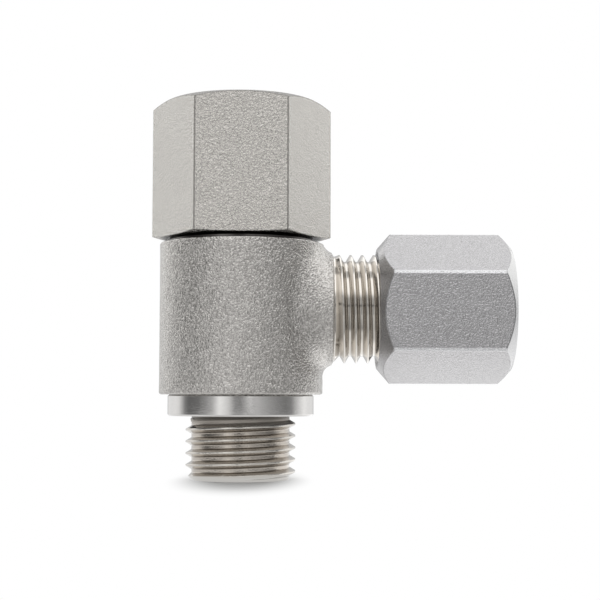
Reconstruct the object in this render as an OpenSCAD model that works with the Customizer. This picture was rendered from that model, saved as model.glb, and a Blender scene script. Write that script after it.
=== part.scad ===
// Banjo tee fitting for hydraulic tube. A hollow bolt carries a male stud below and a
// female port in its tall hexagon head. A forged banjo body swivels on the bolt between
// two sealing rings, and its side branch takes a tube with a cutting ring and union nut.
// Millimetres, +Z up, branch along +X. The origin lies on the bolt axis, in the plane
// of the port face that the lower ring seats on.

/* [Hollow bolt] */
// Major diameter of the stud thread
stud_d = 14; // [12:0.5:15]
// Length of the stud below the port face
stud_l = 8.1; // [6:0.1:14]
// Depth of the undercut between shank and stud thread, on the radius
neck_cut = 0.55; // [0.3:0.05:1]
// Length of the neck that shows below the lower ring
neck_l = 0.55; // [0.3:0.05:1.5]
// Width of the chamfer on the free end of the stud
stud_chamfer = 0.8; // [0.3:0.1:1.5]
// Diameter of the two bearing lands of the shank
shank_d = 14; // [13.5:0.1:14.4]
// Height at which the lower land starts, above the lower ring
land_rise = 0.3; // [0.1:0.1:0.8]
// Depth of the oil gallery round the waist, on the radius
gallery_cut = 1.7; // [1:0.1:2.2]
// Height of the oil gallery round the waist
gallery_h = 8.4; // [6:0.2:11]
// Diameter of the flow bore along the bolt
flow_d = 7; // [5:0.1:8]
// Diameter of the cross drillings into the gallery
cross_d = 4.6; // [3:0.1:5.4]

/* [Bolt head] */
// How far the flats lie behind the barrel's surface
head_set_back = 0.45; // [0.1:0.05:1]
// Height of the hexagon head
head_h = 17.6; // [15:0.1:22]
// How far the round flat on top of the head stays behind the flats
head_face_in = 0.4; // [0.2:0.1:1.5]
// Slope of the chamfer round the top of the head, in degrees
head_top_slope = 23; // [10:1:35]
// How far the round flat under the head stays behind the flats
head_foot_in = 0.5; // [0.2:0.1:1]
// Slope of the shallow chamfer under the head, in degrees
head_foot_slope = 9; // [3:1:20]
// Turn of the hexagon about the bolt axis, in degrees
head_turn = 1.2; // [-30:0.1:30]
// Core diameter of the female port thread in the head
port_core_d = 12.4; // [10:0.1:13]
// Depth of the female port
port_depth = 12; // [9:0.5:13]
// Half angle of the drill point at the foot of the port, in degrees
drill_half_angle = 59; // [50:1:70]
// Mouth diameter of the port's lead-in chamfer
port_mouth_d = 14.4; // [13.2:0.1:15.5]

/* [Banjo body] */
// Wall of the barrel round the recess for the upper ring
rim_wall = 1.025; // [0.8:0.025:3]
// Height of the forged barrel
barrel_h = 19.3; // [18.2:0.1:26]
// Rounding of the barrel's foot edge
barrel_foot_round = 0.3; // [0.1:0.05:0.8]
// Edge break on the barrel's top rim
barrel_rim_break = 0.2; // [0.05:0.05:0.4]
// Height of the branch axis above the barrel's foot
branch_rise = 11; // [9.5:0.1:11.5]

/* [Side branch] */
// How far the forged boss stands out beyond the branch thread
boss_step = 0.2; // [0.05:0.05:0.7]
// Reach of the boss beyond the barrel's surface
boss_proud = 1.35; // [0.8:0.05:3]
// Radius of the blend between boss and barrel
boss_blend = 1.7; // [0.8:0.1:2.4]
// Edge break round the end of the boss, on the radius
boss_edge = 0.3; // [0.1:0.05:0.6]
// Slope of that edge break from the end face, in degrees
boss_edge_slope = 31; // [15:1:40]
// Depth of the plain stretch behind the branch thread, on the radius
plain_cut = 0.2; // [0.1:0.05:0.7]
// Length of the plain stretch behind the branch thread
plain_l = 0.65; // [0.3:0.05:2]
// Major diameter of the branch thread
branch_d = 13.9; // [13.5:0.1:14.5]
// Length of the branch from the boss to its open end
branch_l = 12.7; // [11.5:0.1:16]
// Width of the chamfer on the open end of the branch
branch_chamfer = 0.7; // [0.3:0.1:1.2]
// How far the mouth of the tapered seat opens beyond the tube, on the radius
cone_flare = 1.05; // [0.8:0.05:1.6]
// Half angle of that seat, in degrees
cone_half_angle = 12; // [10:1:15]
// Depth at which the tube meets its stop, from the open end
tube_stop = 7; // [6:0.5:9]
// Width of the step that stops the tube
stop_w = 1; // [0.5:0.1:1.5]

/* [Tube] */
// Outer diameter of the tube that the branch takes
tube_d = 6; // [5.8:0.1:6.4]
// Gap between tube and socket, on the radius
tube_clearance = 0.05; // [0.03:0.01:0.1]

/* [Sealing rings] */
// Width of both sealing rings, from shank to rim
ring_w = 2.325; // [2:0.025:2.6]
// Height of the lower ring, which shows as a collar
lower_ring_h = 2.7; // [1.6:0.1:4]
// Height of the upper ring, which sits in the barrel's recess
upper_ring_h = 1.6; // [1.2:0.1:2.4]
// Gap that the upper ring leaves between barrel and head
head_gap = 0.55; // [0.3:0.05:0.9]
// Edge break on the metal of both rings
ring_edge = 0.2; // [0.05:0.05:0.4]
// Width of the rubber bonded inside the metal, at the faces
rubber_w = 1.2; // [0.7:0.1:1.4]
// Depth of the ridge that keys the rubber to the metal
rubber_key = 0.3; // [0.1:0.05:0.4]

/* [Cutting ring] */
// Length of the cutting ring
ferrule_l = 7.7; // [6.9:0.1:9]
// Depth of the ring's nose inside the tapered seat
ferrule_entry = 2.9; // [2:0.1:3.4]
// How far the ring's rear shoulder stands out from the tube
ferrule_w = 1.7; // [1.4:0.1:2]
// Length of the ring behind its shoulder's widest part
ferrule_tail = 1.3; // [0.8:0.1:1.5]
// Length of the shoulder at its full width
ferrule_shoulder = 2.3; // [1.2:0.1:2.6]
// Gap that is left between tapered faces that meet, square to them
seat_gap = 0.05; // [0.02:0.01:0.1]

/* [Union nut] */
// Wall of the nut between its flats and its threaded bore
nut_wall = 1.4; // [1:0.1:2.5]
// How far the nut's corners are broken, on the radius
nut_corner_break = 0.1; // [0.05:0.05:0.5]
// Length of the nut
nut_l = 17; // [15:0.5:20]
// How far the round flat of the threaded end stays behind the flats
nut_face_in = 0.65; // [0.3:0.05:0.9]
// How far the round flat of the tube end stays behind the flats
nut_end_in = 0.45; // [0.3:0.05:1.4]
// Slope of both end chamfers, in degrees
nut_slope = 41; // [25:1:45]
// Depth of the threaded part of the nut
nut_thread_l = 9; // [8:0.5:10]
// Depth at which the nut's tapered seat reaches the outlet bore
nut_seat_depth = 12.05; // [11.7:0.05:13.5]
// Width of the lead-in chamfers at both bores of the nut
nut_lead_in = 0.4; // [0.2:0.1:0.6]
// Gap between tube and outlet bore, on the radius
outlet_clearance = 0.3; // [0.2:0.05:0.4]
// Room round the cutting ring's shoulder inside the nut, on the radius
shoulder_room = 0.5; // [0.3:0.1:0.8]
// Turn of the nut about the branch axis, in degrees
nut_turn = 4.4; // [-30:0.1:30]

/* [Fits] */
// Running clearance on the radius, for shank and threads
running = 0.05; // [0.02:0.01:0.1]
// Gap round the upper ring in its recess, on the radius
recess_gap = 0.1; // [0.05:0.01:0.2]
// Gap between the lower rubber and the bolt's neck, on the radius
rubber_gap = 0.15; // [0.05:0.05:0.3]

/* [Hidden] */
$fn = 96;
barrel_z = lower_ring_h;
barrel_top = barrel_z + barrel_h;
head_z = barrel_top + head_gap;
head_top = head_z + head_h;
upper_ring_z = head_z - upper_ring_h;
branch_z = barrel_z + branch_rise;
bore_d = shank_d + 2 * running;
neck_d = shank_d - 2 * neck_cut;
waist_d = shank_d - 2 * gallery_cut;
ring_d = shank_d + 2 * ring_w;
recess_d = ring_d + 2 * recess_gap;
barrel_d = recess_d + 2 * rim_wall;
head_af = barrel_d - 2 * head_set_back;
head_face_d = head_af - 2 * head_face_in;
head_foot_d = head_af - 2 * head_foot_in;
land_foot = barrel_z + land_rise;
metal_bore_d = bore_d + 2 * rubber_w;
boss_x = barrel_d / 2 + boss_proud;
branch_end = boss_x + branch_l;
boss_d = branch_d + 2 * boss_step;
plain_d = branch_d - 2 * plain_cut;
socket_d = tube_d + 2 * tube_clearance;
outlet_d = tube_d + 2 * outlet_clearance;
passage_d = tube_d - 2 * stop_w;
cone_mouth_d = tube_d + 2 * cone_flare;
ferrule_d = tube_d + 2 * ferrule_w;
thread_bore_d = branch_d + 2 * running;
nut_af = thread_bore_d + 2 * nut_wall;
nut_face_d = nut_af - 2 * nut_face_in;
nut_end_d = nut_af - 2 * nut_end_in;
ferrule_x = branch_end - ferrule_entry;
ferrule_end = ferrule_x + ferrule_l;
tail_r = ferrule_d / 2 - ferrule_tail;
seat_end = ferrule_end + tail_r + seat_gap * sqrt(2) - outlet_d / 2;
nut_x = seat_end - nut_seat_depth;
seat_mouth_r = ferrule_d / 2 + shoulder_room;

// What joins the barrel may start here, inside the bore that is cut last.
inside_bore = shank_d / 4;
// Steps round the branch and along the arc of the blend between boss and barrel.
blend_steps = 72;
blend_arcs = 8;
// Depth by which the blend's edges sink into the surfaces that they leave.
blend_sink = 0.02;
// Overlap of shapes that join, and reach of cuts beyond the surface.
past = 1;
// Sides of the head and the nut.
hex_sides = 6;

// Turns what is drawn along +Z so that it runs along the branch.
module along_branch() {
    translate([0, 0, branch_z])
        rotate([0, 90, 0])
            children();
}

// Radius to the sharp corners of a hexagon, from its width across flats.
function hex_corner_r(af) = af / 2 / cos(180 / hex_sides);

// Radius of the tapered seat in the branch at a place along the branch.
function cone_r(x) = cone_mouth_d / 2 - (branch_end - x) * tan(cone_half_angle);

// Round shape that trims a hexagon: flats at both ends and a sloped chamfer from each.
module end_chamfers(z0, z1, r0, r1, slope0, slope1, r_max) {
    rotate_extrude()
        polygon([
            [0, z0],
            [r0, z0],
            [r_max, z0 + (r_max - r0) * tan(slope0)],
            [r_max, z1 - (r_max - r1) * tan(slope1)],
            [r1, z1],
            [0, z1]
        ]);
}

module bolt_head() {
    corner_r = hex_corner_r(head_af);
    intersection() {
        translate([0, 0, head_z])
            rotate([0, 0, head_turn])
                cylinder(h = head_h, r = corner_r, $fn = hex_sides);
        end_chamfers(head_z, head_top, head_foot_d / 2, head_face_d / 2,
                     head_foot_slope, head_top_slope, corner_r + past);
    }
}

// Shank with two lands, the waist between them, the neck and the stud.
module bolt_shank() {
    gallery_foot = branch_z - gallery_h / 2;
    gallery_top = branch_z + gallery_h / 2;
    rotate_extrude()
        polygon([
            [0, -stud_l],
            [stud_d / 2 - stud_chamfer, -stud_l],
            [stud_d / 2, -stud_l + stud_chamfer],
            [stud_d / 2, -neck_l - (stud_d - neck_d) / 2],
            [neck_d / 2, -neck_l],
            [neck_d / 2, land_foot],
            [shank_d / 2, land_foot + (shank_d - neck_d) / 2],
            [shank_d / 2, gallery_foot],
            [waist_d / 2, gallery_foot],
            [waist_d / 2, gallery_top],
            [shank_d / 2, gallery_top],
            [shank_d / 2, head_z + past],
            [0, head_z + past]
        ]);
}

// Female port with its lead-in, drill point and the flow bore below.
module bolt_hollow() {
    port_r = port_core_d / 2;
    port_foot = head_top - port_depth;
    drill_point = (port_r - flow_d / 2) / tan(drill_half_angle);
    lead_in = (port_mouth_d - port_core_d) / 2;
    rotate_extrude()
        polygon([
            [0, -stud_l - past],
            [flow_d / 2, -stud_l - past],
            [flow_d / 2, port_foot - drill_point],
            [port_r, port_foot],
            [port_r, head_top - lead_in],
            [port_mouth_d / 2, head_top],
            [port_mouth_d / 2, head_top + past],
            [0, head_top + past]
        ]);
}

module cross_drillings() {
    for (turn = [0, 90])
        translate([0, 0, branch_z])
            rotate([90, 0, turn])
                cylinder(h = shank_d, d = cross_d, center = true);
}

module hollow_bolt() {
    color([0.72, 0.70, 0.67])
        difference() {
            union() {
                bolt_head();
                bolt_shank();
            }
            bolt_hollow();
            cross_drillings();
        }
}

// Forged barrel with a rounded foot and a broken rim.
module barrel() {
    r = barrel_d / 2;
    rotate_extrude() {
        translate([0, barrel_z])
            square([r - barrel_foot_round, barrel_h]);
        translate([0, barrel_z + barrel_foot_round])
            square([r - barrel_rim_break, barrel_h - barrel_foot_round]);
        translate([0, barrel_z + barrel_foot_round])
            square([r, barrel_h - barrel_foot_round - barrel_rim_break]);
        translate([r - barrel_foot_round, barrel_z + barrel_foot_round])
            circle(r = barrel_foot_round, $fn = 32);
        polygon([
            [r - barrel_rim_break, barrel_top],
            [r, barrel_top - barrel_rim_break],
            [r - barrel_rim_break, barrel_top - barrel_rim_break]
        ]);
    }
}

// The blend is the path of a ball that rolls in the corner between boss and barrel.
// Its centre stays one ball radius off both surfaces; a is the angle round the branch.
ball_ring_r = boss_d / 2 + boss_blend;
ball_path_r = barrel_d / 2 + boss_blend;
function ball_centre(a) =
    let (y = ball_ring_r * sin(a))
    [sqrt(pow(ball_path_r, 2) - pow(y, 2)), y, ball_ring_r * cos(a)];
function to_barrel(a) =
    let (c = ball_centre(a))
    -[c.x, c.y, 0] / ball_path_r;
function to_boss(a) = -[0, sin(a), cos(a)];
function blend_point(a, t) =
    let (
        from = to_barrel(a),
        to = to_boss(a),
        open = acos(from * to),
        way = (sin((1 - t) * open) * from + sin(t * open) * to) / sin(open)
    )
    ball_centre(a) + (boss_blend + blend_sink) * way;

// Solid under the rolling ball's path, closed to two points on the branch axis.
module boss_blend_solid() {
    rows = blend_arcs + 1;
    last = blend_steps * rows;
    ring_points = [
        for (i = [0 : blend_steps - 1], j = [0 : blend_arcs])
            blend_point(i * 360 / blend_steps, j / blend_arcs)
    ];
    inner = [inside_bore, 0, 0];
    outer = [barrel_d / 2 - boss_blend, 0, 0];
    function at(i, j) = (i % blend_steps) * rows + j;
    skin = [
        for (i = [0 : blend_steps - 1], j = [0 : blend_arcs - 1])
            each [
                [at(i, j), at(i + 1, j + 1), at(i, j + 1)],
                [at(i, j), at(i + 1, j), at(i + 1, j + 1)]
            ]
    ];
    caps = [
        for (i = [0 : blend_steps - 1])
            each [
                [last, at(i + 1, 0), at(i, 0)],
                [last + 1, at(i, blend_arcs), at(i + 1, blend_arcs)]
            ]
    ];
    polyhedron(points = concat(ring_points, [inner, outer]), faces = concat(skin, caps));
}

// Boss, kept below the barrel's top face and behind its own end face.
module boss() {
    face_r = boss_d / 2 - boss_edge;
    outer_r = ball_ring_r + past;
    intersection() {
        union() {
            translate([0, 0, branch_z])
                boss_blend_solid();
            along_branch()
                cylinder(h = boss_x + past, d = boss_d);
        }
        along_branch()
            rotate_extrude()
                polygon([
                    [0, inside_bore],
                    [outer_r, inside_bore],
                    [outer_r, boss_x - (outer_r - face_r) * tan(boss_edge_slope)],
                    [face_r, boss_x],
                    [0, boss_x]
                ]);
        translate([-barrel_d, -barrel_d, barrel_z])
            cube([3 * barrel_d, 2 * barrel_d, barrel_h]);
    }
}

// Plain stretch and threaded length of the branch, the thread at its major diameter.
module branch_stub() {
    along_branch()
        rotate_extrude()
            polygon([
                [0, boss_x - past],
                [plain_d / 2, boss_x - past],
                [plain_d / 2, boss_x + plain_l],
                [branch_d / 2, boss_x + plain_l + (branch_d - plain_d) / 2],
                [branch_d / 2, branch_end - branch_chamfer],
                [branch_d / 2 - branch_chamfer, branch_end],
                [0, branch_end]
            ]);
}

// Tapered seat, tube socket and passage, from the open end to the gallery.
module branch_hollow() {
    socket_foot = branch_end - tube_stop;
    cone_foot = branch_end - (cone_mouth_d - socket_d) / 2 / tan(cone_half_angle);
    along_branch()
        rotate_extrude()
            polygon([
                [0, inside_bore],
                [passage_d / 2, inside_bore],
                [passage_d / 2, socket_foot],
                [socket_d / 2, socket_foot],
                [socket_d / 2, cone_foot],
                [cone_r(branch_end + past), branch_end + past],
                [0, branch_end + past]
            ]);
}

module banjo_body() {
    color([0.69, 0.68, 0.66])
        difference() {
            union() {
                barrel();
                boss();
                branch_stub();
            }
            translate([0, 0, barrel_z - past])
                cylinder(h = barrel_h + 2 * past, d = bore_d);
            translate([0, 0, upper_ring_z])
                cylinder(h = upper_ring_h + past, d = recess_d);
            branch_hollow();
        }
}

// Metal of a sealing ring, with a ridge inside that keys the rubber.
module ring_metal(z, h) {
    r = ring_d / 2;
    b = metal_bore_d / 2;
    rotate_extrude()
        polygon([
            [b, z],
            [r - ring_edge, z],
            [r, z + ring_edge],
            [r, z + h - ring_edge],
            [r - ring_edge, z + h],
            [b, z + h],
            [b - rubber_key, z + h / 2]
        ]);
}

// Rubber of a sealing ring, bonded to the metal's ridge and clear of the bolt.
module ring_rubber(z, h, bore) {
    b = metal_bore_d / 2;
    rotate_extrude()
        polygon([
            [bore / 2, z],
            [b, z],
            [b - rubber_key, z + h / 2],
            [b, z + h],
            [bore / 2, z + h]
        ]);
}

module upper_ring() {
    color([0.62, 0.62, 0.61])
        ring_metal(upper_ring_z, upper_ring_h);
}

module upper_rubber() {
    color([0.12, 0.12, 0.12])
        ring_rubber(upper_ring_z, upper_ring_h, bore_d);
}

module lower_ring() {
    color([0.66, 0.66, 0.65])
        ring_metal(0, lower_ring_h);
}

module lower_rubber() {
    color([0.12, 0.12, 0.12])
        ring_rubber(0, lower_ring_h, neck_d + 2 * rubber_gap);
}

// Cutting ring: a nose that follows the tapered seat, a shoulder and a 45 degree tail.
module cutting_ring() {
    square_gap = seat_gap / cos(cone_half_angle);
    nose_r = cone_r(ferrule_x) - square_gap;
    neck_r = cone_r(branch_end) - square_gap;
    shoulder_end = ferrule_end - ferrule_tail;
    shoulder_x = shoulder_end - ferrule_shoulder;
    color([0.60, 0.58, 0.52])
        along_branch()
            rotate_extrude()
                polygon([
                    [socket_d / 2, ferrule_x],
                    [nose_r, ferrule_x],
                    [neck_r, branch_end],
                    [neck_r, shoulder_x - (ferrule_d / 2 - neck_r)],
                    [ferrule_d / 2, shoulder_x],
                    [ferrule_d / 2, shoulder_end],
                    [tail_r, ferrule_end],
                    [socket_d / 2, ferrule_end]
                ]);
}

// Threaded bore, run-out, tapered seat and outlet of the nut.
module nut_hollow() {
    thread_r = thread_bore_d / 2;
    thread_end = nut_x + nut_thread_l;
    outlet_r = outlet_d / 2;
    rotate_extrude()
        polygon([
            [0, nut_x - past],
            [thread_r + nut_lead_in + past, nut_x - past],
            [thread_r, nut_x + nut_lead_in],
            [thread_r, thread_end],
            [seat_mouth_r, thread_end],
            [seat_mouth_r, seat_end - (seat_mouth_r - outlet_r)],
            [outlet_r, seat_end],
            [outlet_r, nut_x + nut_l - nut_lead_in],
            [outlet_r + nut_lead_in + past, nut_x + nut_l + past],
            [0, nut_x + nut_l + past]
        ]);
}

module union_nut() {
    corner_r = hex_corner_r(nut_af);
    nut_end = nut_x + nut_l;
    color([0.78, 0.78, 0.79])
        along_branch()
            rotate([0, 0, nut_turn])
                difference() {
                    intersection() {
                        translate([0, 0, nut_x])
                            cylinder(h = nut_l, r = corner_r, $fn = hex_sides);
                        end_chamfers(nut_x, nut_end, nut_face_d / 2, nut_end_d / 2,
                                     nut_slope, nut_slope, corner_r - nut_corner_break);
                    }
                    nut_hollow();
                }
}

hollow_bolt();
banjo_body();
upper_ring();
upper_rubber();
lower_ring();
lower_rubber();
cutting_ring();
union_nut();
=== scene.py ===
"""Banjo tee fitting: hollow bolt, swivelling banjo body, sealing rings, cutting ring and union nut."""

import math

import bmesh
import bpy
from mathutils import Matrix, Vector, noise


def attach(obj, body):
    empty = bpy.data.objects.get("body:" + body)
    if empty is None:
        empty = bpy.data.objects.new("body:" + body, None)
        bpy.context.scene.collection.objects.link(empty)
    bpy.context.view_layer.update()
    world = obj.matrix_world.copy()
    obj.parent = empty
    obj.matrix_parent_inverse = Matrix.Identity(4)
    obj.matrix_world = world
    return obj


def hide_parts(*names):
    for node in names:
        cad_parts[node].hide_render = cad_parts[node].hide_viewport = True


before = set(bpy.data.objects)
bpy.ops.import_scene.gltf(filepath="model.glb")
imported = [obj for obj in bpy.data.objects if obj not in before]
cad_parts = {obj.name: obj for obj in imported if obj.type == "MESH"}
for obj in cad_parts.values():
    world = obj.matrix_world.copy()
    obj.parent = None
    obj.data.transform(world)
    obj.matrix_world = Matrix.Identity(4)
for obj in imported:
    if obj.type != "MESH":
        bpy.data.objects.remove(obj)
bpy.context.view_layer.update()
scene = bpy.context.scene
MM = 0.001


# Studio
# The fitting stands on the end of its stud on a white table, before a long lens low over
# the table. A bright ceiling and walls that are lit in places and dim in others draw bands
# on the turned steel, and one lamp behind and above adds light without a highlight.

class Wire:
    """A node socket. Operators on it add Math nodes; node() adds any other node."""

    def __init__(self, tree, socket=None):
        self.tree, self.socket = tree, socket

    def node(self, kind, settings=(), sockets=(), out=0):
        """Adds a node: first its settings or a ramp's stops, then the values or wires of its sockets."""
        made = self.tree.nodes.new(kind)
        for key, value in dict(settings).items():
            if key == "stops":
                bar = made.color_ramp.elements
                while len(bar) < len(value):
                    bar.new(1.0)
                for stop, (place, level) in zip(bar, value):
                    stop.position = place
                    stop.color = (level, level, level, 1)
            else:
                setattr(made, key, value)
        for key, value in dict(sockets).items():
            if isinstance(value, Wire):
                self.tree.links.new(value.socket, made.inputs[key])
            elif made.inputs[key].type == "RGBA":
                made.inputs[key].default_value = (*value, 1)
            else:
                made.inputs[key].default_value = value
        return Wire(self.tree, made.outputs[out] if made.outputs else None)

    def maths(self, operation, *values):
        return self.node("ShaderNodeMath", {"operation": operation}, dict(enumerate(values)))

    def __add__(self, other):
        return self.maths("ADD", self, other)

    def __radd__(self, other):
        return self.maths("ADD", other, self)

    def __sub__(self, other):
        return self.maths("SUBTRACT", self, other)

    def __rsub__(self, other):
        return self.maths("SUBTRACT", other, self)

    def __mul__(self, other):
        return self.maths("MULTIPLY", self, other)

    def __rmul__(self, other):
        return self.maths("MULTIPLY", other, self)

    def __truediv__(self, other):
        return self.maths("DIVIDE", self, other)

    def between(self, low, high):
        """0 at low, 1 at high, eased between them and held outside."""
        return self.node("ShaderNodeMapRange", {"interpolation_type": "SMOOTHSTEP"},
                         {"Value": self, "From Min": low, "From Max": high})

    def blend(self, first, second):
        """Colour that goes from first to second as this socket goes from 0 to 1."""
        return self.node("ShaderNodeMix", {"data_type": "RGBA"}, {0: self, 6: first, 7: second}, out=2)


def parts_of(vector):
    """The x, y and z of a vector wire, as three wires."""
    split = vector.node("ShaderNodeSeparateXYZ", (), {0: vector}).socket.node
    return [Wire(vector.tree, part) for part in split.outputs]


def millimetres(wire):
    """Place on the object in millimetres, as a vector and as x, y and z."""
    place = wire.node("ShaderNodeVectorMath", {"operation": "SCALE"},
                      {0: wire.node("ShaderNodeTexCoord", out=3), "Scale": 1 / MM})
    return place, parts_of(place)


# The camera's place in millimetres and its turns in radians.
CAMERA_PLACE = (5.4733, -184.1985, 2.7884)
CAMERA_PITCH, CAMERA_YAW, CAMERA_ROLL = 0.0654, -0.0113, 0.0025
LENS, SENSOR = 86.13, 36
forward = Vector((-math.sin(CAMERA_YAW) * math.cos(CAMERA_PITCH),
                  math.cos(CAMERA_YAW) * math.cos(CAMERA_PITCH), math.sin(CAMERA_PITCH)))
right = Vector((math.cos(CAMERA_YAW), math.sin(CAMERA_YAW), 0))
up = right.cross(forward)
right, up = (math.cos(CAMERA_ROLL) * right + math.sin(CAMERA_ROLL) * up,
             math.cos(CAMERA_ROLL) * up - math.sin(CAMERA_ROLL) * right)
camera = bpy.data.objects.new("camera", bpy.data.cameras.new("camera"))
camera.data.lens, camera.data.sensor_width = LENS, SENSOR
camera.data.clip_start, camera.data.clip_end = 0.01, 20
camera.matrix_world = (Matrix.Translation(Vector(CAMERA_PLACE) * MM)
                       @ Matrix((right, up, -forward)).transposed().to_4x4())
scene.collection.objects.link(camera)
scene.camera = camera
scene.view_settings.view_transform = "Standard"

# Brightness of the walls by bearing in degrees: 0 is the camera's side, 90 the branch's.
WALLS = ((-180, 0.60), (-166, 0.70), (-150, 1.02), (-136, 1.08), (-121, 1.15), (-112, 1.06),
         (-103, 0.68), (-95, 0.30), (-86, 0.18), (-68, 0.22), (-55, 0.38), (-43, 0.60),
         (-31, 1.32), (-17, 0.90), (-7, 0.32), (2, 0.34), (16, 1.22), (26, 0.72),
         (36, 0.56), (48, 0.44), (60, 0.34), (76, 0.26), (88, 0.34), (98, 0.70),
         (106, 0.95), (120, 1.29), (134, 1.12), (150, 1.04), (166, 0.72), (180, 0.60))
WHITE = (1.0, 1.0, 1.0)
HIGH_WALL, LOW_CARD = (1.42, 1.42, 1.40), (0.13, 0.13, 0.13)
CEILING, CEILING_GAP = (1.62, 1.62, 1.62), (0.60, 0.60, 0.60)
CEILING_DROP = 0.08

room = bpy.data.worlds.new("room")
room.use_nodes = True
room.node_tree.nodes.clear()
air = Wire(room.node_tree)
east, north, height = parts_of(air.node("ShaderNodeTexCoord"))
bearing = air.maths("ARCTAN2", east, north * -1) * math.degrees(1)
wall = air.node("ShaderNodeValToRGB",
                {"stops": [((degrees + 180) / 360, level) for degrees, level in WALLS]},
                {0: (bearing + 180) / 360})
# Behind the fitting, to its left and right, the walls are brighter above the horizon.
off_front = air.maths("ABSOLUTE", bearing)
rear_sides = off_front.between(100.8, 115.2) * (1 - off_front.between(147.6, 165.6))
wall = (rear_sides * height.between(0.06, 0.10)).blend(wall, HIGH_WALL)
# A dark card hangs a little above the horizon, just right of the camera.
card = bearing.between(-2.16, 3.6) * (1 - bearing.between(19.8, 28.8))
card = card * height.between(0.03, 0.06) * (1 - height.between(0.10, 0.17))
wall = card.blend(wall, LOW_CARD)
# Ceiling and floor glow, the ceiling further down on the camera's side, with a gap overhead.
lowered = height + CEILING_DROP * (1 - off_front.between(54, 100.8))
ceiling = air.maths("ABSOLUTE", lowered).between(0.42, 0.74)
overhead_gap = height.between(0.965, 0.99)
lit_room = ceiling.blend(wall, overhead_gap.blend(CEILING, CEILING_GAP))
seen = air.node("ShaderNodeLightPath").blend(lit_room, WHITE)
glow = air.node("ShaderNodeBackground", (), {"Color": seen, "Strength": 1.0})
air.node("ShaderNodeOutputWorld", (), {"Surface": glow})
scene.world = room

STUD_END = -8.1
TABLE_R, TABLE_SIDES = 75, 96
TABLE_SHADOW_GREY, DARK_TABLE_REFLECTION = (0.40, 0.40, 0.395), (0.28, 0.28, 0.28)
DIM_TABLE_REFLECTION, BRIGHT_TABLE_REFLECTION = (0.70, 0.70, 0.70), (1.50, 1.50, 1.50)
SHADOW_WIDE, SHADOW_DEEP = 8, 28
table = bmesh.new()
bmesh.ops.create_circle(table, segments=TABLE_SIDES, radius=TABLE_R * MM, cap_ends=True)
bmesh.ops.translate(table, verts=table.verts, vec=(0, 0, STUD_END * MM))
table_mesh = bpy.data.meshes.new("table")
table.to_mesh(table_mesh)
table.free()
table_top = bpy.data.objects.new("table_top", table_mesh)
scene.collection.objects.link(table_top)

# Round the stud's end the table is a grey diffuse patch, a painted shadow that the real
# shadow deepens, and further off it glows white. Steel sees painted reflections on it: bright
# behind the nut, dim before it and dark before the branch, and the shadow patch glows for it too.
table_white = bpy.data.materials.new("table_white")
table_white.use_nodes = True
table_white.node_tree.nodes.clear()
base = Wire(table_white.node_tree)
place, (across, away, _) = millimetres(base)
squeezed = base.node("ShaderNodeVectorMath", {"operation": "MULTIPLY"},
                     {0: place, 1: (1 / SHADOW_WIDE, 1 / SHADOW_DEEP, 0.0)})
from_foot = base.node("ShaderNodeVectorMath", {"operation": "LENGTH"}, {0: squeezed}, out=1)
# Painted shadow: a grey patch round the stud's end, deepened by the real shadow.
painted_shadow = base.node("ShaderNodeBsdfDiffuse", (), {"Color": TABLE_SHADOW_GREY})
mirrored = base.node("ShaderNodeLightPath", out=3)
# Painted reflections: glossy rays see the table brighter behind the nut, dimmer before it and dark before
# the branch.
reflection_under_nut = away.between(-9, 1).blend(DIM_TABLE_REFLECTION, BRIGHT_TABLE_REFLECTION)
painted_sheen = across.between(15, 18).blend(WHITE, reflection_under_nut)
dark_reflection_before_branch = across.between(9, 11) * (1 - across.between(16.5, 18)) * (1 - away.between(-21, -14))
painted_sheen = dark_reflection_before_branch.blend(painted_sheen, DARK_TABLE_REFLECTION)
glowing = base.node("ShaderNodeEmission", (), {"Color": mirrored.blend(WHITE, painted_sheen), "Strength": 1.0})
# Painted reflection: glossy rays see at least 80 percent glow, even on the shadow patch.
glow_share = base.maths("MAXIMUM", from_foot.between(0.35, 1.2), mirrored * 0.8)
surface = base.node("ShaderNodeMixShader", (), {0: glow_share, 1: painted_shadow, 2: glowing})
from_below = base.node("ShaderNodeNewGeometry", out=6)
unseen = base.node("ShaderNodeBsdfTransparent")
surface = base.node("ShaderNodeMixShader", (), {0: from_below, 1: surface, 2: unseen})
base.node("ShaderNodeOutputMaterial", (), {"Surface": surface})
table_mesh.materials.append(table_white)

LAMP_PLACE, LAMP_AIM = Vector((0, 140, 420)), Vector((0, 0, 15))
LAMP_SIZE, LAMP_POWER = 160, 1.2
lamp = bpy.data.lights.new("overhead", "AREA")
lamp.shape, lamp.size, lamp.energy = "DISK", LAMP_SIZE * MM, LAMP_POWER
overhead = bpy.data.objects.new("overhead", lamp)
overhead.location = LAMP_PLACE * MM
overhead.rotation_euler = (LAMP_AIM - LAMP_PLACE).to_track_quat("-Z", "Y").to_euler()
overhead.visible_glossy = False
scene.collection.objects.link(overhead)


# Hollow bolt
# One turned stainless bar: tall hexagon head with a tapped port in its top, shank with an
# oil gallery, and the stud with a rolled M14 x 1.5 thread. A bore runs right through it.

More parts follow.
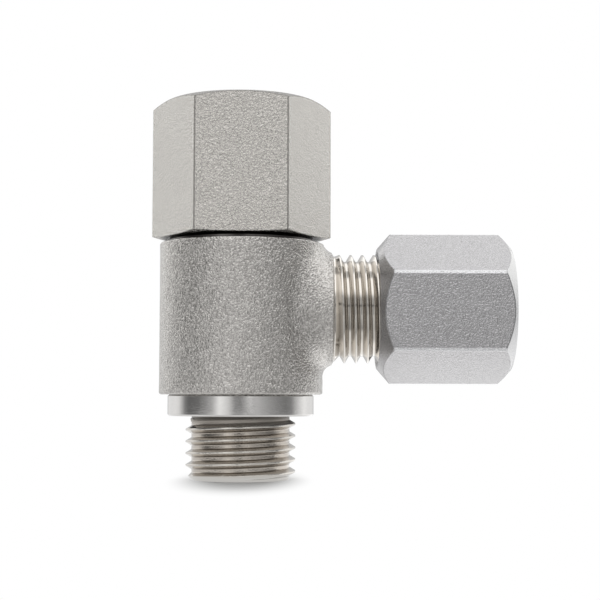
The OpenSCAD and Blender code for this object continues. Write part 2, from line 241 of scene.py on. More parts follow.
# A closed profile starts and ends at its seam, which lies on a straight stretch.
PITCH = 1.5
HEAD_AF, HEAD_TURN, HEAD_Z, HEAD_TOP, HEAD_CORNER_ROUND = 20.0, 1.2, 22.55, 40.15, 0.36
HEAD_FACE_R, HEAD_FOOT_R, HEAD_EDGE_R = 9.6, 9.5, 11.49
TOP_SLOPE, FOOT_SLOPE = math.tan(math.radians(23)), math.tan(math.radians(9))
BRANCH_Z = 13.7
STUD_R, STUD_ROOT, STUD_END_R, STUD_PHASE = 7.0, 6.25, 6.2, -2.52
RELIEF_Z, RELIEF_SLOPE = -0.3, 1.6
NECK_R, NECK_TOP, NECK_FOOT = 6.45, 3.0, -0.03
SHANK_R, LAND_FOOT, GALLERY_R, GALLERY_FOOT, GALLERY_TOP = 7.0, 3.55, 5.3, 9.5, 17.9
FLOW_R, FLOW_SEAM = 3.5, 5
PORT_R, PORT_FOOT, PORT_MOUTH_R, PORT_LIP, DRILL_POINT = 6.2, 28.15, 7.2, 0.2, 26.53
PORT_GROOVE, PORT_PHASE, PORT_PLAIN, PORT_FADE_FROM, PORT_FADE = 0.8, 0.4, 0.8, 1.2, 1.5
DRILLINGS, DRILLING_R, DRILLING_REACH = 2, 2.3, 12.4
HEAD_STEP = 0.42
WELD, SHARP_EDGE = 0.002, math.radians(40)

BAR_DARK, BAR_LIGHT = (0.50, 0.482, 0.453), (0.585, 0.566, 0.534)
CREST_STEEL, GROOVE_STEEL = (0.55, 0.525, 0.49), (0.42, 0.385, 0.345)
STUD_END_MACHINED_SHEEN, NECK_PAINTED_SHADE = (0.58, 0.565, 0.54), (0.18, 0.165, 0.145)
EDGE_PAINTED_SHADE, UNDER_HEAD_PAINTED_SHADE = (0.26, 0.25, 0.235), (0.06, 0.052, 0.045)


def arc_point(centre, start, stop, share):
    """Point at a share of the arc from start to stop, which are seen from its centre."""
    sweep = start.angle(stop)
    mixed = math.sin((1 - share) * sweep) * start + math.sin(share * sweep) * stop
    return centre + mixed / math.sin(sweep)


def rounded(points, steps=3, guard=0.05):
    """Polyline through (u, v, radius) points with each corner rounded to its radius."""
    most_cut, most_guard = 0.4, 0.48
    flat = [Vector(p[:2]) for p in points]
    path = [tuple(flat[0])]
    for before, corner, after, (_, _, radius) in zip(flat, flat[1:], flat[2:], points[1:-1]):
        if not radius:
            path.append(tuple(corner))
            continue
        back, ahead = before - corner, after - corner
        room_back, room_ahead = back.length, ahead.length
        back.normalize()
        ahead.normalize()
        half = back.angle(ahead) / 2
        cut = min(radius / math.tan(half), most_cut * room_back, most_cut * room_ahead)
        centre = corner + (back + ahead).normalized() * (cut * math.tan(half) / math.sin(half))
        start, stop = corner + back * cut - centre, corner + ahead * cut - centre
        path.append(tuple(corner + back * min(cut + guard, most_guard * room_back)))
        for k in range(steps + 1):
            path.append(tuple(arc_point(centre, start, stop, k / steps)))
        path.append(tuple(corner + ahead * min(cut + guard, most_guard * room_ahead)))
    path.append(tuple(flat[-1]))
    return path


def around(outline, step):
    """Angle and radius of each column round a closed outline of (x, y, rounding) corners."""
    last, first = outline[-1], outline[0]
    middle = ((last[0] + first[0]) / 2, (last[1] + first[1]) / 2, 0)
    path = rounded([middle] + outline + [middle], steps=4, guard=0.06)
    columns = []
    for a, b in zip(path, path[1:]):
        count = max(1, round(math.dist(a, b) / step))
        for k in range(count):
            columns.append((a[0] + (b[0] - a[0]) * k / count, a[1] + (b[1] - a[1]) * k / count))
    columns.append(path[-1])
    turns = []
    for x, y in columns:
        angle = math.atan2(y, x)
        while turns and angle < turns[-1][0] - 1e-9:
            angle += 2 * math.pi
        turns.append((angle, math.hypot(x, y)))
    return turns


def hexagon(across_flats, turn, rounding, broken_r=None):
    """Corners of a hexagon as (x, y, rounding), two to a corner where they are cut at a radius."""
    points = []
    for k in range(6):
        if broken_r:
            flat, spread = math.radians(turn + 60 * k + 30), math.acos(across_flats / 2 / broken_r)
            ends = ((flat - spread, broken_r), (flat + spread, broken_r))
        else:
            ends = ((math.radians(turn + 60 * k), across_flats / math.sqrt(3)),)
        points += [(reach * math.cos(angle), reach * math.sin(angle), rounding) for angle, reach in ends]
    return points


def thread_section(depth, crest, root, crest_round, root_round):
    """One pitch of a thread as (offset along the axis, depth below the crest), from root to root."""
    half = PITCH / 2
    shape = rounded([(-half, depth, 0), (-half + root / 2, depth, root_round), (-crest / 2, 0, crest_round),
                     (crest / 2, 0, crest_round), (half - root / 2, depth, root_round), (half, depth, 0)],
                    guard=0.03)
    return shape[:-1]


def thread_run(turn, low, high, phase, major_r, section, limit):
    """Profile points (along, radius) of a helical thread, at a share of a turn round its axis."""
    points = []
    first = math.floor((low - phase) / PITCH) - 2
    last = math.ceil((high - phase) / PITCH) + 2
    for k in range(first, last):
        for offset, depth in section:
            along = min(max(phase + PITCH * (turn + k) + offset, low), high)
            points.append((along, limit(along, major_r - depth)))
    return points


def weave(shell, columns):
    """Adds quads between neighbouring columns of points, given in millimetres."""
    grid = [[shell.verts.new(Vector(p) * MM) for p in column] for column in columns]
    for a, b in zip(grid, grid[1:]):
        for i in range(len(a) - 1):
            shell.faces.new((a[i], b[i], b[i + 1], a[i + 1]))


def as_object(name, shell):
    """Welds a shell's seams, turns its faces outward and puts it in the scene."""
    bmesh.ops.remove_doubles(shell, verts=shell.verts, dist=WELD * MM)
    bmesh.ops.recalc_face_normals(shell, faces=shell.faces)
    for face in shell.faces:
        face.smooth = True
    mesh = bpy.data.meshes.new(name)
    shell.to_mesh(mesh)
    shell.free()
    made = bpy.data.objects.new(name, mesh)
    scene.collection.objects.link(made)
    return made


def piece(name, shell, body, node, material):
    """Makes a piece of a shell and a material, puts it on a body and hides the frame's node."""
    made = as_object(name, shell)
    made.data.set_sharp_from_angle(angle=SHARP_EDGE)
    made.data.materials.append(material)
    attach(made, body)
    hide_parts(node)


def drilled(shell, drills):
    """Cuts closed drill shapes out of a closed mesh and gives the mesh back."""
    solids = [as_object("blank", blank) for blank in [shell] + drills]
    for drill in solids[1:]:
        cut = solids[0].modifiers.new("drilling", "BOOLEAN")
        cut.operation, cut.solver, cut.object = "DIFFERENCE", "EXACT", drill
    result = bmesh.new()
    result.from_object(solids[0], bpy.context.evaluated_depsgraph_get())
    for solid in solids:
        bpy.data.objects.remove(solid)
    return result


def finish(name, metallic=1.0):
    """A material with a Principled shader; returns it, its first wire and its shader node."""
    material = bpy.data.materials.new(name)
    material.use_nodes = True
    shader = material.node_tree.nodes["Principled BSDF"]
    shader.inputs["Metallic"].default_value = metallic
    return material, Wire(material.node_tree), shader


def wire_to(shader, wire, socket):
    """Links a wire to a socket of the material's shader."""
    wire.tree.links.new(wire.socket, shader.inputs[socket])


def grain(place, scale, detail=3.0, stretch=(1, 1, 1), rough=0.5):
    """Noise from 0 to 1 at so many cells a millimetre, stretched along the axes."""
    spread = place.node("ShaderNodeVectorMath", {"operation": "MULTIPLY"}, {0: place, 1: stretch})
    return place.node("ShaderNodeTexNoise", (),
                      {"Vector": spread, "Scale": scale, "Detail": detail, "Roughness": rough})


def relief(height, depth):
    """Normal of a surface with this height map, of a depth in millimetres."""
    return height.node("ShaderNodeBump", (), {"Strength": 1.0, "Distance": depth * MM, "Height": height})


def radius_of(a, b):
    """Distance from an axis of a point that lies a and b beside it."""
    return a.maths("SQRT", a * a + b * b)


def stud_limit(z, r):
    """Chamfered at the free end; runs out into a turned relief under the collar."""
    chamfer = STUD_END_R + (z - STUD_END)
    return min(max(r, STUD_ROOT), STUD_R, chamfer, STUD_ROOT + RELIEF_SLOPE * max(0.0, RELIEF_Z - z))


def port_limit(z, r):
    """Lead-in at the mouth; the tapped groove fades out before the drill point."""
    fade = PORT_R + PORT_GROOVE * min(1.0, max(0.0, (z - PORT_FOOT - PORT_FADE_FROM) / PORT_FADE))
    return min(max(r, PORT_MOUTH_R - (HEAD_TOP - z)), fade)


stud_section = thread_section(depth=STUD_R - STUD_ROOT, crest=0.20, root=0.434,
                              crest_round=0.06, root_round=0.12)
port_section = thread_section(depth=PORT_GROOVE, crest=0.25, root=0.25, crest_round=0.06, root_round=0.08)
bolt_shell = bmesh.new()
bolt_columns = []
for angle, reach in around(hexagon(HEAD_AF, HEAD_TURN, HEAD_CORNER_ROUND), HEAD_STEP):
    turn = angle / (2 * math.pi)
    foot_z = HEAD_Z + (reach - HEAD_FOOT_R) * FOOT_SLOPE
    top_z = HEAD_TOP - (reach - HEAD_FACE_R) * TOP_SLOPE
    end = rounded([(FLOW_R, FLOW_SEAM, 0), (FLOW_R, STUD_END, 0.15), (STUD_END_R, STUD_END, 0)])
    stud = thread_run(turn, STUD_END, NECK_FOOT, STUD_PHASE, STUD_R, stud_section, stud_limit)
    shank = rounded([
        (NECK_R, NECK_FOOT, 0), (NECK_R, NECK_TOP, 0.1), (SHANK_R, LAND_FOOT, 0.1),
        (SHANK_R, GALLERY_FOOT, 0.1), (GALLERY_R, GALLERY_FOOT, 0.25), (GALLERY_R, GALLERY_TOP, 0.25),
        (SHANK_R, GALLERY_TOP, 0.1), (SHANK_R, HEAD_Z, 0.1), (HEAD_FOOT_R, HEAD_Z, 0.1),
        (reach, foot_z, 0.13), (reach, top_z, 0.10), (HEAD_FACE_R, HEAD_TOP, 0.12),
        (PORT_MOUTH_R, HEAD_TOP, 0.06), (PORT_MOUTH_R - PORT_LIP, HEAD_TOP - PORT_LIP, 0)])
    port = thread_run(turn, PORT_FOOT + PORT_PLAIN, HEAD_TOP - PORT_LIP, PORT_PHASE,
                      PORT_R + PORT_GROOVE, port_section, port_limit)
    drill = rounded([(PORT_R, PORT_FOOT + PORT_PLAIN, 0), (PORT_R, PORT_FOOT, 0.2),
                     (FLOW_R, DRILL_POINT, 0.1), (FLOW_R, FLOW_SEAM, 0)])
    profile = end + [(r, z) for z, r in stud] + shank + [(r, z) for z, r in port[::-1]] + drill
    bolt_columns.append([(r * math.cos(angle), r * math.sin(angle), z) for r, z in profile])
weave(bolt_shell, bolt_columns)
drills = []
for side in range(DRILLINGS):
    aimed = (Matrix.Rotation(math.pi / DRILLINGS * side, 4, "Z")
             @ Matrix.Translation((0, 0, BRANCH_Z * MM)) @ Matrix.Rotation(math.pi / 2, 4, "Y"))
    drills.append(bmesh.new())
    bmesh.ops.create_cone(drills[-1], cap_ends=True, segments=48, radius1=DRILLING_R * MM,
                          radius2=DRILLING_R * MM, depth=DRILLING_REACH * MM, matrix=aimed)
bolt_shell = drilled(bolt_shell, drills)

bolt_steel, steel, shader = finish("bolt_stainless")
place, (x, y, z) = millimetres(steel)
fine = grain(place, 5.0, detail=2.0, rough=0.6)
speck = grain(place, 3.0, detail=1.0)
radius = radius_of(x, y)
on_thread = 1 - z.between(NECK_FOOT - 0.09, NECK_FOOT + 0.01)
groove = on_thread * (1 - radius.between(STUD_ROOT + 0.1, STUD_R - 0.15))
# The end chamfer is lighter: a machined finish, with a painted reflection of the white table.
stud_chamfer = 1 - z.between(STUD_END + 0.45, STUD_END + 0.7)
thread_steel = stud_chamfer.blend(groove.blend(CREST_STEEL, GROOVE_STEEL), STUD_END_MACHINED_SHEEN)
bar_steel = fine.between(0.3, 0.7).blend(BAR_DARK, BAR_LIGHT)
# Painted shade: the relief under the collar is darkened where the collar shades it.
collar_shadow = on_thread * z.between(RELIEF_Z - 0.3, RELIEF_Z)
shaded = collar_shadow.blend(on_thread.blend(bar_steel, thread_steel), NECK_PAINTED_SHADE)
# Painted shade: the hexagon's six edges and the chamfer round its top are darker than its flats.
edge = z.between(HEAD_Z - 0.55, HEAD_Z - 0.15) * radius.between(HEAD_EDGE_R - 0.04, HEAD_EDGE_R)
top_cone = (z + (radius - HEAD_FACE_R) * TOP_SLOPE).between(HEAD_TOP - 0.10, HEAD_TOP - 0.04)
dark_top_chamfer = top_cone * radius.between(HEAD_FACE_R, HEAD_FACE_R + 0.1)
shaded = edge.maths("MAXIMUM", edge, dark_top_chamfer).blend(shaded, EDGE_PAINTED_SHADE)
# Painted shade: the head's foot, in the gap over the barrel, is painted near black.
under_head_shadow = z.between(HEAD_Z - 0.15, HEAD_Z - 0.05) * (1 - z.between(HEAD_Z + 0.01, HEAD_Z + 0.17))
run_out = on_thread * z.between(RELIEF_Z - 1.0, RELIEF_Z - 0.5)
wire_to(shader, under_head_shadow.blend(shaded, UNDER_HEAD_PAINTED_SHADE), "Base Color")
wire_to(shader, 0.12 + 0.08 * speck - 0.08 * on_thread + 0.30 * run_out, "Roughness")
wire_to(shader, 1 - 0.55 * run_out, "Metallic")
wire_to(shader, relief((fine + 0.7 * speck) * (1 - 0.95 * on_thread), 0.25), "Normal")
piece("hollow_bolt_turned", bolt_shell, "bolt", "hollow_bolt", bolt_steel)


# Banjo body
# A stainless forging: barrel and boss are one lump with a rolled blend between them, left
# blasted; the branch with its thread and 24 degree seat, the bore and the recess are cut.

BARREL_R, BARREL_FOOT, BARREL_TOP = 10.445, 2.7, 22.0
FOOT_ROUND, RIM_BREAK, EDGE_FLAT = 0.3, 0.2, 0.06
BORE_R, RECESS_R, RECESS_Z = 7.05, 9.425, 20.95
BOSS_R, BOSS_X, BLEND_R, BOSS_FACE_R = 7.15, 11.8, 1.7, 6.85
EDGE_SLOPE, SIDE_SWELL = math.tan(math.radians(31)), 6.5
PLAIN_R, PLAIN_END = 6.75, 11.95
BRANCH_R, BRANCH_ROOT, BRANCH_PHASE, BRANCH_RUN_IN = 6.95, 6.07, 12.49, 0.6
BRANCH_END, BRANCH_END_R, BRANCH_END_SLOPE, THREAD_SHORT = 24.5, 6.0, 1.36, 0.02
CONE_R, CONE_FOOT, SOCKET_R, SOCKET_FOOT, PASSAGE_R, PASSAGE_END = 4.05, 19.795, 3.05, 17.5, 2.0, 8.2
SIDE_TURN = math.radians(75)
PATCH_TOP, PATCH_FOOT = BARREL_TOP - RIM_BREAK, BARREL_FOOT + FOOT_ROUND
BORE_PATCH_TOP, BORE_PATCH_FOOT = RECESS_Z - 0.1, BARREL_FOOT + 0.2
BRANCH_STEPS, PATCH_ROWS, ARC_ROWS, BACK_STEPS = 216, 10, 16, 72
TRIM_STEP, MOST_TRIMS = 0.02, 40
RIM_STEPS, FOOT_STEPS = 4, 5
DENT_WIDE, DENT_NARROW, DENT_SUNK = 2.6, 1.1, 0.02
SKIN_END, SKIN_FADE, SKIN_END_FADE = BOSS_X - 0.3, 1.5, 0.6

BLAST_DARK, BLAST_LIGHT = (0.355, 0.343, 0.327), (0.555, 0.539, 0.517)
CUT_CREST, CUT_GROOVE, ROOT_HIGHLIGHT_STEEL = (0.66, 0.63, 0.59), (0.48, 0.45, 0.41), (0.60, 0.57, 0.53)
GAP_PAINTED_SHADE = (0.07, 0.065, 0.06)

branch_section = thread_section(depth=BRANCH_R - BRANCH_ROOT, crest=0.18, root=0.304,
                                crest_round=0.06, root_round=0.10)


def branch_limit(x, r):
    """Runs out from the plain stretch; the open end is chamfered."""
    run_in = 1 - min(1.0, max(0.0, (x - PLAIN_END) / BRANCH_RUN_IN))
    groove = BRANCH_ROOT + (PLAIN_R - BRANCH_ROOT) * run_in
    chamfer = BRANCH_END_R + (BRANCH_END - x) * BRANCH_END_SLOPE
    return min(max(r, groove), BRANCH_R, PLAIN_R + max(0.0, x - PLAIN_END), chamfer)


def edge_of_patch(turn):
    """Where a ray from the branch axis leaves the patch round it, as (angle, height) on the barrel."""
    across, rise = -math.sin(turn), math.cos(turn)
    reach = []
    if abs(across) > 1e-9:
        reach.append(SIDE_TURN * BARREL_R / abs(across))
    if abs(rise) > 1e-9:
        reach.append((PATCH_TOP - BRANCH_Z if rise > 0 else BRANCH_Z - PATCH_FOOT) / abs(rise))
    return across * min(reach) / BARREL_R, BRANCH_Z + rise * min(reach)


def boss_edge(radius):
    """How far out the broken edge of the boss's face lies, at a radius round the branch axis."""
    return BOSS_X - (radius - BOSS_FACE_R) * EDGE_SLOPE


# The barrel's wall has a patch round the branch, 75 degrees to each side, and the rest. The
# columns of the patch go round the branch axis, with one on each of its corners.
turns = [2 * math.pi * k / BRANCH_STEPS for k in range(BRANCH_STEPS + 1)]
corner_turns = [math.atan2(SIDE_TURN * BARREL_R, PATCH_TOP - BRANCH_Z),
                math.pi - math.atan2(SIDE_TURN * BARREL_R, BRANCH_Z - PATCH_FOOT)]
corner_turns += [2 * math.pi - t for t in corner_turns]
corner_steps = [min(range(BRANCH_STEPS), key=lambda k: abs(turns[k] - t)) for t in corner_turns]
for step, corner in zip(corner_steps, corner_turns):
    turns[step] = corner

# A column starts at the patch's edge, goes over barrel, blend, boss and branch, and returns
# through seat, socket and passage to the bore. A ball that rolls between barrel and boss
# gives the blend. It is larger at the boss's sides, and its arc is trimmed to the boss's edge.
body_columns = []
for turn in turns:
    sine, cosine = -math.sin(turn), math.cos(turn)
    blend_r = BLEND_R + SIDE_SWELL * sine ** 4
    ball_y, ball_z = (BOSS_R + blend_r) * sine, (BOSS_R + blend_r) * cosine
    ball = Vector((math.sqrt((BARREL_R + blend_r) ** 2 - ball_y ** 2), ball_y, ball_z))
    to_barrel = -Vector((ball.x, ball.y, 0)).normalized()
    to_boss = -Vector((0, sine, cosine))
    opening = to_barrel.angle(to_boss)
    blend_start, blend_stop = to_barrel * blend_r, to_boss * blend_r
    begin = 0.0
    over_rim = ball_z - (PATCH_TOP - BRANCH_Z)
    if over_rim > 0:
        begin = math.asin(over_rim * math.sin(opening) / (blend_r * cosine)) / opening
    stop = 1.0
    for _ in range(MOST_TRIMS):
        point = arc_point(ball, blend_start, blend_stop, stop)
        if point.x <= boss_edge(math.hypot(point.y, point.z)):
            break
        stop -= TRIM_STEP
    foot = arc_point(ball, blend_start, blend_stop, begin)
    angle_out, height_out = edge_of_patch(turn)
    angle_in, height_in = math.atan2(foot.y, foot.x), foot.z + BRANCH_Z
    skin = []
    if begin:
        skin += [(foot.x, foot.y, height_in)] * PATCH_ROWS
    else:
        for k in range(PATCH_ROWS):
            share = k / PATCH_ROWS
            angle = angle_out + (angle_in - angle_out) * share
            skin.append((BARREL_R * math.cos(angle), BARREL_R * math.sin(angle),
                         height_out + (height_in - height_out) * share))
    for k in range(ARC_ROWS + 1):
        point = arc_point(ball, blend_start, blend_stop, begin + (stop - begin) * k / ARC_ROWS)
        skin.append((point.x, point.y, point.z + BRANCH_Z))
    boss_r = math.hypot(point.y, point.z)
    edge_x = boss_edge(boss_r)
    profile = rounded([(point.x + (edge_x - point.x) * 0.9, boss_r, 0), (edge_x, boss_r, 0.05),
                       (BOSS_X, BOSS_FACE_R, 0.05), (BOSS_X, PLAIN_R, 0.04), (PLAIN_END, PLAIN_R, 0)],
                      guard=0.02)
    profile += thread_run(turn / (2 * math.pi), PLAIN_END, BRANCH_END - THREAD_SHORT, BRANCH_PHASE,
                          BRANCH_R, branch_section, branch_limit)
    profile += rounded([(BRANCH_END, BRANCH_END_R, 0), (BRANCH_END, CONE_R, 0.06),
                        (CONE_FOOT, SOCKET_R, 0.1), (SOCKET_FOOT, SOCKET_R, 0.08),
                        (SOCKET_FOOT, PASSAGE_R, 0.08), (PASSAGE_END, PASSAGE_R, 0)], guard=0.03)
    skin += [(px, r * sine, BRANCH_Z + r * cosine) for px, r in profile]
    mouth_y = PASSAGE_R * sine
    mouth_angle = math.atan2(mouth_y, math.sqrt(BORE_R ** 2 - mouth_y ** 2))
    mouth_z = BRANCH_Z + PASSAGE_R * cosine
    up_patch = (height_out - PATCH_FOOT) / (PATCH_TOP - PATCH_FOOT)
    bore_z = BORE_PATCH_FOOT + up_patch * (BORE_PATCH_TOP - BORE_PATCH_FOOT)
    for k in range(PATCH_ROWS + 1):
        share = k / PATCH_ROWS
        angle = mouth_angle + (angle_out - mouth_angle) * share
        skin.append((BORE_R * math.cos(angle), BORE_R * math.sin(angle),
                     mouth_z + (bore_z - mouth_z) * share))
    body_columns.append(skin)

body_shell = bmesh.new()
weave(body_shell, body_columns)

# The rest of the wall, outside and in the bore, joins the two sides of the patch.
first_side, second_side = corner_steps[0], corner_steps[1]
back_turns = [-SIDE_TURN - (2 * math.pi - 2 * SIDE_TURN) * k / BACK_STEPS for k in range(BACK_STEPS + 1)]
for end, size in ((0, BARREL_R), (-1, BORE_R)):
    weave(body_shell, [[(size * math.cos(t), size * math.sin(t), column[end][2])
                        for column in body_columns[first_side:second_side + 1]] for t in back_turns])

above = list(range(corner_steps[2], BRANCH_STEPS)) + list(range(0, first_side + 1))
below = list(range(second_side, corner_steps[3] + 1))


def rim(steps_seen, profile, inner_profile):
    """Closes the barrel's wall at one end, from the outer skin through an edge to the bore."""
    columns = []
    order = [(body_columns[s][0], body_columns[s][-1]) for s in steps_seen]
    turn_of = [math.atan2(p[0][1], p[0][0]) for p in order]
    if turn_of[0] < turn_of[-1]:
        order, turn_of = order[::-1], turn_of[::-1]
    for t in back_turns[1:-1]:
        order.append(((BARREL_R * math.cos(t), BARREL_R * math.sin(t), order[0][0][2]),
                      (BORE_R * math.cos(t), BORE_R * math.sin(t), order[0][1][2])))
        turn_of.append(t)
    order.append(order[0])
    turn_of.append(turn_of[0] - 2 * math.pi)
    for (outer, inner), t in zip(order, turn_of):
        reach = math.hypot(outer[0], outer[1])
        bore_turn = math.atan2(inner[1], inner[0])
        column = [outer]
        for inset, height in profile:
            column.append(((reach - inset) * math.cos(t), (reach - inset) * math.sin(t), height))
        for size, height in inner_profile:
            column.append((size * math.cos(bore_turn), size * math.sin(bore_turn), height))
        column.append(inner)
        columns.append(column)
    weave(body_shell, columns)


def quarter(radius, corner_z, sign, steps):
    """Inset and height of the points along a rounded edge of the barrel."""
    quarters = [k / steps * math.pi / 2 for k in range(1, steps + 1)]
    return [(radius * (1 - math.cos(t)), corner_z + sign * radius * math.sin(t)) for t in quarters]


rim(above, quarter(RIM_BREAK, PATCH_TOP, 1, RIM_STEPS) + [(RIM_BREAK + EDGE_FLAT, BARREL_TOP)],
    rounded([(RECESS_R + 0.12, BARREL_TOP, 0), (RECESS_R, BARREL_TOP, 0.08), (RECESS_R, RECESS_Z, 0.1),
             (BORE_R, RECESS_Z, 0.08), (BORE_R, RECESS_Z - 0.09, 0)], guard=0.03)[:-1])
rim(below, quarter(FOOT_ROUND, PATCH_FOOT, -1, FOOT_STEPS) + [(FOOT_ROUND + EDGE_FLAT, BARREL_FOOT)],
    rounded([(BORE_R + 1.5, BARREL_FOOT, 0), (BORE_R, BARREL_FOOT, 0.1),
             (BORE_R, BARREL_FOOT + 0.19, 0)], guard=0.03)[:-1])

# The forged skin is slightly uneven, most of all round the boss.
for vertex in body_shell.verts:
    spot = vertex.co / MM
    on_skin = math.hypot(spot.x, spot.y) >= BARREL_R - 0.01 and spot.x <= SKIN_END
    if not on_skin or not PATCH_FOOT < spot.z < PATCH_TOP:
        continue
    from_rims = min(spot.z - PATCH_FOOT, PATCH_TOP - spot.z)
    fade = min(1.0, from_rims / SKIN_FADE, (SKIN_END - spot.x) / SKIN_END_FADE)
    near_boss = min(1.0, max(0.0, (spot.x - 4.0) / 4.0))
    dent = noise.noise(spot / DENT_WIDE) * (0.02 + 0.09 * near_boss)
    dent += noise.noise(spot / DENT_NARROW) * 0.025 * near_boss
    vertex.co += Vector((spot.x, spot.y, 0)).normalized() * (dent - DENT_SUNK) * fade * MM

forging, steel, shader = finish("blasted_forging")
place, (x, y, z) = millimetres(steel)
shot = grain(place, 4.2, detail=1.5, rough=0.6) + 0.30 * grain(place, 1.5, detail=1.0)
cloud = grain(place, 0.5, detail=2.0)
from_axis = radius_of(y, z - BRANCH_Z)
on_branch = x.between(BOSS_X - 0.05, BOSS_X + 0.02)
groove = on_branch * (1 - from_axis.between(BRANCH_ROOT + 0.13, BRANCH_R - 0.15))
# Painted highlight: a light line along the thread's root stands in for a reflection there.
root_highlight = 1 - from_axis.between(BRANCH_ROOT + 0.02, BRANCH_ROOT + 0.07)
cut_steel = root_highlight.blend(groove.blend(CUT_CREST, CUT_GROOVE), ROOT_HIGHLIGHT_STEEL)
blasted = shot.between(0.4, 0.9).blend(BLAST_DARK, BLAST_LIGHT)
# Painted shade: the barrel's top face, in the gap under the head, is painted near black.
gap_shadow = z.between(BARREL_TOP - 0.12, BARREL_TOP - 0.04)
wire_to(shader, gap_shadow.blend(on_branch.blend(blasted, cut_steel), GAP_PAINTED_SHADE), "Base Color")
wire_to(shader, 0.11 + 0.10 * cloud - 0.06 * on_branch, "Roughness")
wire_to(shader, relief(shot * (1 - on_branch), 0.165), "Normal")
piece("banjo_forging", body_shell, "banjo", "banjo_body", forging)


# Sealing rings
# Bonded seals: a turned stainless ring with rubber vulcanised to a ridge inside it. The
# lower one shows as a bright collar; only the upper one's edge shows, under the head.

RING_R, RING_BORE, RING_KEY, RING_EDGE, RUBBER_STEPS = 9.325, 8.25, 0.3, 0.2, 144
# Ring, its rubber, the two nodes that they stand for, and their foot, height and bore radius.
RINGS = (("collar_ring", "collar_rubber", "lower_ring", "lower_rubber", 0.0, BARREL_FOOT, 6.6),
         ("gap_ring", "gap_rubber", "upper_ring", "upper_rubber", RECESS_Z, 1.6, BORE_R))
RING_DARK, RING_LIGHT, GAP_RING_PAINTED_SHADE = (0.54, 0.53, 0.517), (0.64, 0.63, 0.617), (0.09, 0.085, 0.08)
RUBBER_DARK, RUBBER_LIGHT = (0.018, 0.018, 0.019), (0.04, 0.04, 0.042)


def turned(profile, steps=216):
    """Columns of a lathe-turned closed profile of (radius, height) about the bolt axis."""
    return [[(r * math.cos(t), r * math.sin(t), z) for r, z in profile]
            for t in (2 * math.pi * k / steps for k in range(steps + 1))]


ring_steel, steel, shader = finish("turned_ring_steel")
place, (x, y, z) = millimetres(steel)
feed_marks = steel.maths("SINE", (z + radius_of(x, y)) * 60.0)
fine = grain(place, 5.0, stretch=(0.3, 0.3, 3.0))
# Painted shade: the upper ring, in the gap under the head, is painted near black.
in_head_shadow = z.between(10.0, 12.0)
wire_to(shader, in_head_shadow.blend(fine.blend(RING_DARK, RING_LIGHT), GAP_RING_PAINTED_SHADE), "Base Color")
wire_to(shader, 0.06 + 0.05 * fine, "Roughness")
wire_to(shader, relief(feed_marks * 0.5 + fine, 0.0025), "Normal")

rubber_black, soft, shader = finish("seal_rubber_black", metallic=0.0)
place, _ = millimetres(soft)
bloom = grain(place, 2.0)
wire_to(shader, bloom.blend(RUBBER_DARK, RUBBER_LIGHT), "Base Color")
wire_to(shader, 0.55 + 0.2 * bloom, "Roughness")
wire_to(shader, relief(bloom, 0.01), "Normal")

for ring_name, rubber_name, ring_node, rubber_node, foot, tall, lip in RINGS:
    top, middle = foot + tall, foot + tall / 2
    shell = bmesh.new()
    weave(shell, turned(rounded([
        (RING_R, middle, 0), (RING_R, top - RING_EDGE, 0.06), (RING_R - RING_EDGE, top, 0.06),
        (RING_BORE, top, 0.04), (RING_BORE - RING_KEY, middle, 0.05), (RING_BORE, foot, 0.04),
        (RING_R - RING_EDGE, foot, 0.06), (RING_R, foot + RING_EDGE, 0.06), (RING_R, middle, 0)])))
    piece(ring_name, shell, "bolt", ring_node, ring_steel)
    shell = bmesh.new()
    weave(shell, turned(rounded([
        (lip, middle, 0), (lip, top, 0.15), (RING_BORE, top, 0.03), (RING_BORE - RING_KEY, middle, 0.05),
        (RING_BORE, foot, 0.03), (lip, foot, 0.15), (lip, middle, 0)]), RUBBER_STEPS))
    piece(rubber_name, shell, "bolt", rubber_node, rubber_black)


# Cutting ring
# Hardened steel ring between branch and nut. Its nose follows the seat and bites into the
# tube when the nut is tightened. Turned, and phosphated to a yellowish grey.

SEAT_SLOPE = math.tan(math.radians(12))
SEAT_GAP = 0.05 / math.cos(math.radians(12))
FERRULE_BORE, FERRULE_R, BACK_R = 3.05, 4.7, 3.4
NOSE_X, NECK_X, SHOULDER_X, BACK_CONE_X, BACK_X = 21.6, 25.049, 25.7, 28.0, 29.3
FERRULE_SEAM, FERRULE_STEPS = 25.0, 144
PHOSPHATE_DARK, PHOSPHATE_LIGHT = (0.36, 0.34, 0.27), (0.52, 0.49, 0.40)


def along_branch(columns):
    """Turns columns made about +Z so that they lie about the branch axis."""
    return [[(z, -y, BRANCH_Z + x) for x, y, z in column] for column in columns]


ferrule_steel, steel, shader = finish("phosphated_ring_steel", metallic=0.85)
place, (x, _, _) = millimetres(steel)
mottle = grain(place, 1.5, detail=4.0)
wire_to(shader, mottle.blend(PHOSPHATE_DARK, PHOSPHATE_LIGHT), "Base Color")
wire_to(shader, 0.32 + 0.16 * mottle, "Roughness")
wire_to(shader, relief(mottle + 0.3 * steel.maths("SINE", x * 40.0), 0.004), "Normal")

seat_r = CONE_R - SEAT_GAP
nose_r = seat_r - (BRANCH_END - NOSE_X) * SEAT_SLOPE
ferrule_shell = bmesh.new()
weave(ferrule_shell, along_branch(turned(rounded([
    (FERRULE_BORE, FERRULE_SEAM, 0), (FERRULE_BORE, NOSE_X, 0.05), (nose_r, NOSE_X, 0.05),
    (seat_r, BRANCH_END, 0.1), (seat_r, NECK_X, 0.1), (FERRULE_R, SHOULDER_X, 0.08),
    (FERRULE_R, BACK_CONE_X, 0.08), (BACK_R, BACK_X, 0.06), (FERRULE_BORE, BACK_X, 0.06),
    (FERRULE_BORE, FERRULE_SEAM, 0)], guard=0.03), FERRULE_STEPS)))
piece("cutting_ring_turned", ferrule_shell, "ferrule", "cutting_ring", ferrule_steel)


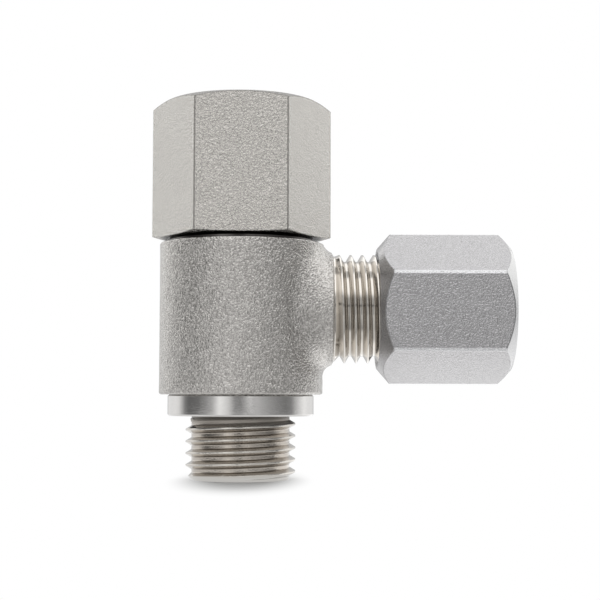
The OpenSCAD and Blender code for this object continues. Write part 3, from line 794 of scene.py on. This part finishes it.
# Union nut
# Stainless hexagon nut with chamfered ends and broken corners, cut from drawn bar. Its
# thread pulls it on to the branch, and the cone inside presses on the cutting ring.

NUT_AF, NUT_CORNER_R, NUT_CORNER_ROUND, NUT_TURN, NUT_STEP = 16.8, 9.6, 0.06, 4.4, 0.35
NUT_X, NUT_END, NUT_FACE_R, NUT_END_R, NUT_SLOPE = 17.42, 34.42, 7.75, 7.95, math.tan(math.radians(41))
NUT_THREAD_R, THREAD_END, THREAD_LEAD, NUT_SEAM = 7.0, 26.42, 0.4, 22.0
OUTLET_R, OUTLET_LEAD, SEAT_MOUTH_R, SEAT_END = 3.3, 0.4, 5.2, 29.47
NUT_DARK, NUT_LIGHT = (0.375, 0.370, 0.375), (0.445, 0.440, 0.446)
CORNER_HIGHLIGHT_STEEL, NUT_END_STEEL = (0.62, 0.62, 0.63), (0.53, 0.53, 0.535)

nut_shell = bmesh.new()
nut_columns = []
for angle, reach in around(hexagon(NUT_AF, NUT_TURN, NUT_CORNER_ROUND, NUT_CORNER_R), NUT_STEP):
    left_x = NUT_X + (reach - NUT_FACE_R) * NUT_SLOPE
    right_x = NUT_END - (reach - NUT_END_R) * NUT_SLOPE
    profile = rounded([
        (NUT_THREAD_R, NUT_SEAM, 0), (NUT_THREAD_R, NUT_X + THREAD_LEAD, 0.1),
        (NUT_THREAD_R + THREAD_LEAD, NUT_X, 0.06), (NUT_FACE_R, NUT_X, 0.08), (reach, left_x, 0.1),
        (reach, right_x, 0.1), (NUT_END_R, NUT_END, 0.08), (OUTLET_R + OUTLET_LEAD, NUT_END, 0.06),
        (OUTLET_R, NUT_END - OUTLET_LEAD, 0.06), (OUTLET_R, SEAT_END, 0.1),
        (SEAT_MOUTH_R, SEAT_END - (SEAT_MOUTH_R - OUTLET_R), 0.1), (SEAT_MOUTH_R, THREAD_END, 0.05),
        (NUT_THREAD_R, THREAD_END, 0.05), (NUT_THREAD_R, NUT_SEAM, 0)])
    nut_columns.append([(r * math.cos(angle), r * math.sin(angle), z) for r, z in profile])
weave(nut_shell, along_branch(nut_columns))

nut_steel, steel, shader = finish("drawn_nut_steel")
place, (x, y, z) = millimetres(steel)
fine = grain(place, 5.2, detail=1.5, rough=0.6)
drawn = grain(place, 3.0, stretch=(0.15, 1.0, 1.0))
from_axis = radius_of(y, z - BRANCH_Z)
# How far a point lies past the cone of either chamfer: 0 on the chamfer and less elsewhere.
past_end = (x - NUT_END) + (from_axis - NUT_END_R) * NUT_SLOPE
past_start = (NUT_X - x) + (from_axis - NUT_FACE_R) * NUT_SLOPE
end_chamfer, start_chamfer = past_end.between(-0.10, -0.03), past_start.between(-0.10, -0.03)
chamfered = steel.maths("MAXIMUM", end_chamfer, start_chamfer)
skin_steel = fine.between(0.3, 0.7).blend(NUT_DARK, NUT_LIGHT)
# Painted highlight: a light strip along each broken corner stands in for its reflection.
highlighted_corners = from_axis.between(NUT_CORNER_R - 0.06, NUT_CORNER_R - 0.02).blend(skin_steel, CORNER_HIGHLIGHT_STEEL)
wire_to(shader, end_chamfer.blend(highlighted_corners, NUT_END_STEEL), "Base Color")
wire_to(shader, 0.08 + 0.06 * drawn + 0.08 * chamfered, "Roughness")
wire_to(shader, relief((fine + 0.3 * drawn) * (1 - 0.85 * chamfered), 0.17), "Normal")
piece("union_nut_drawn", nut_shell, "nut", "union_nut", nut_steel)
